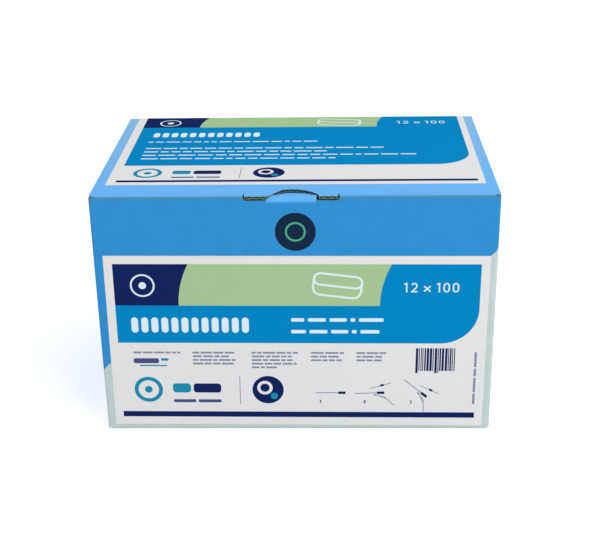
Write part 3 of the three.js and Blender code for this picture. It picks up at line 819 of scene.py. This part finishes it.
def colour_fields(left, right, band_low, block_low, shift):
    """The blue field with its round lower corner, and the green and navy blocks that stand on its title band
    and end in a round edge on the right."""
    top = block_low + BLOCK_HEIGHT
    blue = [(left, band_low)]
    blue += arc(right - FIELD_CORNER, band_low + FIELD_CORNER, FIELD_CORNER, -90, 0, 16)
    blue += [(right, top), (left, top)]
    sweep = math.degrees(math.asin(BLOCK_HEIGHT / FIELD_ARC))
    fields = [(blue, FIELD)]
    for end, colour in ((41.7, GREEN), (-59.3, NAVY)):
        edge = arc(end + shift + FIELD_ARC, block_low, FIELD_ARC, 180, 180 - sweep, 10)
        fields.append(([(left, block_low)] + edge + [(left, top)], colour))
    return fields


def bolus_picture(u, v):
    """The outline of a bolus lying down: its round-ended body, and the edge of its upper face."""
    a, b, stroke, r = 12.6, 6.4, 1.1, 4.3
    rim = box_shape(-a, -b, a, b, r)
    hole = box_shape(stroke - a, stroke - b, a - stroke, b - stroke, r - stroke)
    face = box_shape(-a, -0.9, a, b, 3.6)
    face_hole = box_shape(stroke - a, stroke - 0.9, a - stroke, b - stroke, 3.6 - stroke)
    return [(turned(shape, u, v, -7), colour) for shape, colour in (
        (rim, PALE_INK), (hole, GREEN), (face, PALE_INK), (face_hole, GREEN))]


def pictures(middle, quantity_low, shift):
    """A ring with a dot on the navy block, the bolus on the green one and plain numbers on the blue field."""
    u = shift - 77.0
    shapes = [(disc_shape(u, middle, 6.2), PALE_INK), (disc_shape(u, middle, 5.3), NAVY),
              (disc_shape(u, middle, 1.9), PALE_INK)]
    shapes += bolus_picture(20.4 + shift, middle)
    for sign, place in NUMBER_PLACES:
        shapes += numeral(sign, place + shift, quantity_low, 5.2, 0.74, FIELD)
    return shapes


def title_row(u, v, height):
    """Twelve small boluses in a row on the title band."""
    pitch, width = 5.1, 3.5
    return inked([box_shape(u + pitch * i, v, u + pitch * i + width, v + height, width * 0.49)
                  for i in range(12)], PALE_INK)


def marks(u, v):
    """Plain marks in a row: a teal ring, two bars over two thin ones, an upright rule and a navy roundel."""
    shapes = [(disc_shape(u, v, 7.4), TEAL), (disc_shape(u, v, 5.3), WHITE), (disc_shape(u, v, 2.0), TEAL)]
    shapes += [(box_shape(u + 12.6, v - 1.8, u + 22.0, v + 3.6, 1.6), TEAL)]
    shapes += [(box_shape(u + 23.4, v - 1.8, u + 37.7, v + 3.6, 1.6), NAVY)]
    shapes += inked(bar_row(u + 12.8, v - 7.6, 1.8, (11.6, 11.9), 1.3), SOFT_NAVY)
    shapes += [(box_shape(u + 47.3, v - 8.3, u + 47.7, v + 8.3), GREY)]
    shapes += [(disc_shape(u + 62.0, v, 8.1), NAVY), (disc_shape(u + 60.4, v + 1.2, 4.0), WHITE),
               (disc_shape(u + 60.4, v + 1.2, 2.4), NAVY), (disc_shape(u + 65.2, v - 3.6, 1.9), TEAL)]
    return shapes


def steps_for_use():
    """Three small line drawings of a bolus on its applicator, each turned as STEPS says, over its number."""
    shapes = []
    for sign, number, u, v, lean in STEPS:
        bar = [stroke_shape(0, 0, 12, 0, 0.5)]
        body = [stroke_shape(11.6, 0, 15.4, 0, 1.5)]
        if sign != "1":
            bar += [stroke_shape(8.0, 2.6, 19.0, 5.6, 0.4), stroke_shape(9.6, -1.2, 15.0, -2.2, 0.4),
                    stroke_shape(15.0, -2.2, 20.2, -7.6, 0.4), stroke_shape(10.0, -0.6, 17.0, -4.0, 0.4)]
            body += [stroke_shape(13.4, 4.2, 15.2, 4.6, 1.2)]
        shapes += inked([turned(shape, u, v, lean) for shape in bar], GREY)
        shapes += inked([turned(shape, u, v, lean) for shape in body], NAVY)
        shapes += [(shape, NAVY) for shape, _ in numeral(sign, number, -35.0, 2.0, 0.5, WHITE)]
    return shapes


def bar_pattern(left, right, low, high):
    """Upright bars of chance widths, longer at both ends and in the middle."""
    shapes = []
    u = left
    while u < right - 0.7:
        width = random.choice((0.5, 0.5, 0.8, 1.2))
        long_one = min(u - left, right - u, abs(u - (left + right) / 2)) < 0.9
        shapes.append((box_shape(u, low - (1.2 if long_one else 0.0), min(u + width, right), high), NAVY))
        u += width + random.choice((0.35, 0.35, 0.5))
    return shapes


def printed_sheet(bm, outline, shapes, cuts):
    """A flat sheet cut along the edges of its printed shapes, each face with the ink of the last shape over
    it. cuts are heights at which the sheet is also cut across, so that it can bend there."""
    points, loops, edges = [], [], []
    for polygon, _ in [(outline, WHITE)] + shapes:
        if sum(a[0] * b[1] - b[0] * a[1] for a, b in zip(polygon, polygon[1:] + polygon[:1])) < 0:
            polygon = polygon[::-1]
        loops.append(list(range(len(points), len(points) + len(polygon))))
        points += [Vector(p) for p in polygon]
    for v in cuts:
        edges.append((len(points), len(points) + 1))
        points += [Vector((-CUT_REACH, v)), Vector((CUT_REACH, v))]
    verts, _, faces, _, _, sources = delaunay_2d_cdt(points, edges, loops, 1, 1e-4)
    made = [bm.verts.new((p.x, p.y, 0)) for p in verts]
    for corners, source in zip(faces, sources):
        if not source or 0 not in source:
            continue
        face = bm.faces.new([made[i] for i in corners])
        face.material_index = ([WHITE] + [colour for _, colour in shapes])[max(source)]
    bmesh.ops.delete(bm, geom=[v for v in bm.verts if not v.link_faces], context="VERTS")


def lay_label(bm, place):
    """Turns a flat printed sheet to face up, gives it its thickness and puts every point where place says."""
    bm.normal_update()
    bmesh.ops.reverse_faces(bm, faces=[face for face in bm.faces if face.normal.z < 0])
    copied = bmesh.ops.extrude_face_region(bm, geom=bm.faces[:])["geom"]
    under = [item for item in copied if isinstance(item, bmesh.types.BMVert)]
    bmesh.ops.translate(bm, verts=under, vec=(0, 0, -PAPER))
    bmesh.ops.recalc_face_normals(bm, faces=bm.faces[:])
    for vert in bm.verts:
        vert.co = place(vert.co) * MM


def label_ink(name, hex_colour):
    """Offset ink on coated label paper: even and nearly matt, with the paper's faint tooth."""
    made, tree, out = new_material(name)
    paper_surface(tree, out, ink(hex_colour)[:3], roughness=0.45, washboard=0.25, fleck=0.012, grain_mm=0.5,
                  sheen=0.0005)
    return made


label_inks = [label_ink("label_" + name, value) for name, value in LABEL_INKS]
FRONT_LABEL_WIDTH = 191.5
FRONT_LABEL_HEIGHT = 96.0
FRONT_LABEL_PLACE = (0.4, 50.9)
FRONT_LABEL_TILT = -0.3
w, h = FRONT_LABEL_WIDTH / 2, FRONT_LABEL_HEIGHT / 2
shapes = colour_fields(-91.4, 91.4, -0.1, 20.9, 0.0)
shapes += pictures(31.9, 28.4, 0.0)
shapes += title_row(-83.9, 5.7, 8.6)
shapes += inked(bar_row(-2.9, 12.1, 1.9, (6.6, 9.0, 8.6, 2.4, 12.4), 1.9), PALE_INK)
shapes += inked(bar_row(-2.9, 5.5, 1.9, (7.4, 9.0, 8.6, 2.4, 9.6), 1.9), PALE_INK)
for u, width, rows in ((-84.1, 24.3, 1), (-53.6, 23.5, 4), (-23.4, 23.8, 5), (7.0, 16.9, 3), (30.2, 15.2, 3)):
    for row, share in zip(range(rows), (1.0, 0.86, 0.94, 0.97, 0.6)):
        shapes += inked(random_bar_row(u, -6.2 - 2.1 * row, 1.05, width * share, 0.6), GREY)
shapes += inked([box_shape(-84.1, -11.9, -71.0, -9.0, 1.0)], SOFT_NAVY)
shapes += inked([box_shape(-70.0, -10.4, -66.0, -9.0, 0.6), box_shape(-81.0, -13.6, -67.0, -12.8, 0.3)], TEAL)
shapes += marks(-77.3, -27.2)
shapes += bar_pattern(60.4, 81.2, -15.9, -2.8)
shapes += steps_for_use()
shapes += inked([box_shape(90.2, v, 91.4, v + length) for v, length in (
    (-35.2, 6.2), (-28.2, 8.4), (-19.0, 4.6), (-13.6, 8.6))], GREY)
shapes += inked([box_shape(-91.4, -43.4, 91.6, -40.2)], NAVY)
bm = bmesh.new()
printed_sheet(bm, box_shape(-w, -h, w, h), shapes, ())


def on_front(p):
    """Where a point of the flat front label lies on the front wall."""
    u, v = turned([(p.x, p.y)], *FRONT_LABEL_PLACE, FRONT_LABEL_TILT)[0]
    return Vector((u, FRONT - PAPER - p.z, v))


lay_label(bm, on_front)
front_label = finish_mesh(bm, "front_label_sheet", label_inks)
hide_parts("front_label")
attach(front_label, "carton")

# Top label. The larger of the two, stuck to the lid, with its rear margin turned down over the fold and stuck
# to the back wall, so it bends with the hinge.
TOP_LABEL_WIDTH = 189.0
TOP_LABEL_FRONT = 17.2
TOP_LABEL_TAIL = 6.2
TOP_LABEL_X = 0.1
TOP_LABEL_TILT = -0.1
TAIL_ROOM = 14.0
length = BACK - FRONT - TOP_LABEL_FRONT + TOP_LABEL_TAIL
w, h = TOP_LABEL_WIDTH / 2, length / 2
shapes = colour_fields(-89.8, 90.9, 29.8 - h, 97.6 - h, 2.0)
shapes += pictures(106.4 - h, 103.0 - h, 2.0)
shapes += title_row(-81.7, 79.2 - h, 8.0)
shapes += inked(random_bar_row(-82.9, 69.8 - h, 1.4, 95.0, 1.3), PALE_INK)
for row, width in enumerate((129.0, 99.0, 149.5, 105.0)):
    shapes += inked(random_bar_row(-82.8, 58.2 - h - 5.9 * row, 1.5, width, 1.3), PALE_INK)
shapes += marks(-75.7, 17.9 - h)
shapes += inked([box_shape(-89.9, 3.9 - h, 91.0, 6.9 - h)], NAVY)
cover = HEIGHT + PAPER
wrap_route = Route(
    [(FRONT, cover), (BACK - BEND_FAR, cover), (BACK - BEND_NEAR, cover)]
    + arc(BACK - FOLD_RADIUS, HEIGHT - FOLD_RADIUS, FOLD_RADIUS + PAPER, 90, 0, 10)
    + [(BACK + PAPER, HEIGHT - down) for down in (BEND_NEAR, BEND_FAR, TAIL_ROOM)], -1)
top_place = (TOP_LABEL_X, TOP_LABEL_FRONT + h)
bm = bmesh.new()
printed_sheet(bm, turned(box_shape(-w, -h, w, h), *top_place, TOP_LABEL_TILT),
              [(turned(shape, *top_place, TOP_LABEL_TILT), colour) for shape, colour in shapes],
              wrap_route.lengths[1:-1])


def over_fold(p):
    """Where a point of the flat top label lies on the lid, round the fold or on the back wall."""
    y, z = wrap_route.at(p.y, -p.z)
    return Vector((p.x, y, z))


lay_label(bm, over_fold)
top_label = finish_mesh(bm, "top_label_sheet", label_inks, sharp_degrees=60)
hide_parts("top_label", "top_label_tail")
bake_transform(top_label)

# Cell divider. Five strips of brown board, slotted half way and crossed, that keep the boluses apart. Their
# shapes are those of the CAD, with the surface of rough kraft and its darker fibres.
divider_board = plain_paper("divider_kraft", "#b3946a", roughness=0.85, fleck=0.12)
for name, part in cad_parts.items():
    if "divider" in name:
        part.data.materials.clear()
        part.data.materials.append(divider_board)

# Boluses. Twelve round bars of pressed mineral, 100 g each, with a thin pale coat. The press rounds their
# ends and leaves a small raised land in the middle of each.
BOLUS_SEGMENTS = 48
BOLUS_END_RADIUS = 11.0
BOLUS_END_SWEEP = 78
LAND_FLAT = 0.36
LAND_FOOT = 0.40
LAND_HEIGHT = 0.4
COAT_PALE = "#f1ece0"
COAT_DARK = "#ddd6c4"
GRAIN_BROWN = "#a2967c"
GRAIN_SIZE = 1.6
CLOUD_SIZE = 9.0
COAT_TOOTH = 0.7
COAT_TOOTH_DEPTH = 0.15


def bolus_coat():
    """Thin wax-like coat on pressed mineral powder: off-white, dull, with darker grains just under it. The
    grains and the tooth are drawn coarser than real ones, so that they show."""
    made, tree, out = new_material("bolus_coat")
    place = add(tree, "TexCoord").outputs["Object"]
    grains = add(tree, "TexVoronoi", {"Vector": place, "Scale": 1 / (GRAIN_SIZE * MM)})
    cloud = add(tree, "TexNoise", {
        "Vector": place, "Scale": 1 / (CLOUD_SIZE * MM), "Detail": 6.0, "Roughness": 0.7})
    spots = add(tree, "MapRange", {
        0: grains.outputs["Distance"], 1: 0.06, 2: 0.22, 3: 1.0, 4: 0.0}).outputs[0]
    spots = add(tree, "Math", {0: spots, 1: cloud.outputs[0]}, operation="MULTIPLY").outputs[0]
    colour = add(tree, "Mix", {
        0: cloud.outputs[0], 6: ink(COAT_DARK), 7: ink(COAT_PALE)}, data_type="RGBA").outputs[2]
    colour = add(tree, "Mix", {0: spots, 6: colour, 7: ink(GRAIN_BROWN)}, data_type="RGBA").outputs[2]
    tooth = add(tree, "TexNoise", {"Vector": place, "Scale": 1 / (COAT_TOOTH * MM), "Detail": 3.0})
    bump = add(tree, "Bump", {
        "Height": tooth.outputs[0], "Strength": 0.4, "Distance": COAT_TOOTH_DEPTH * MM})
    surface = add(tree, "BsdfPrincipled", {
        "Base Color": colour, "Roughness": 0.62, "Specular IOR Level": 0.35, "Normal": bump.outputs[0]})
    tree.links.new(surface.outputs[0], out.inputs["Surface"])
    return made


coat = bolus_coat()
for name in sorted(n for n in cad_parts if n.startswith("bolus")):
    low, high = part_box(name)
    middle = (low + high) / 2
    radius = (high.y - low.y) / 2
    tall = high.z - low.z
    bend = BOLUS_END_RADIUS * MM
    land = LAND_HEIGHT * MM
    profile = [(0.0, 0.0), (radius * LAND_FLAT, 0.0), (radius * LAND_FOOT, land)]
    profile += arc(radius - bend, bend, bend, -BOLUS_END_SWEEP, 0)
    profile += arc(radius - bend, tall - bend, bend, 0, BOLUS_END_SWEEP)
    profile += [(radius * LAND_FOOT, tall - land), (radius * LAND_FLAT, tall), (0.0, tall)]
    bm = bmesh.new()
    chain = [bm.verts.new((x, 0, z)) for x, z in profile]
    for a, b in zip(chain, chain[1:]):
        bm.edges.new((a, b))
    bmesh.ops.spin(bm, geom=bm.verts[:] + bm.edges[:], cent=(0, 0, 0), axis=(0, 0, 1), dvec=(0, 0, 0),
                   angle=2 * math.pi, steps=BOLUS_SEGMENTS, use_merge=True)
    bmesh.ops.remove_doubles(bm, verts=bm.verts[:], dist=1e-6)
    bmesh.ops.recalc_face_normals(bm, faces=bm.faces[:])
    bmesh.ops.translate(bm, verts=bm.verts[:], vec=(middle.x, middle.y, low.z))
    bolus = finish_mesh(bm, name + "_coated", [coat])
    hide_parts(name)
    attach(bolus, "carton")
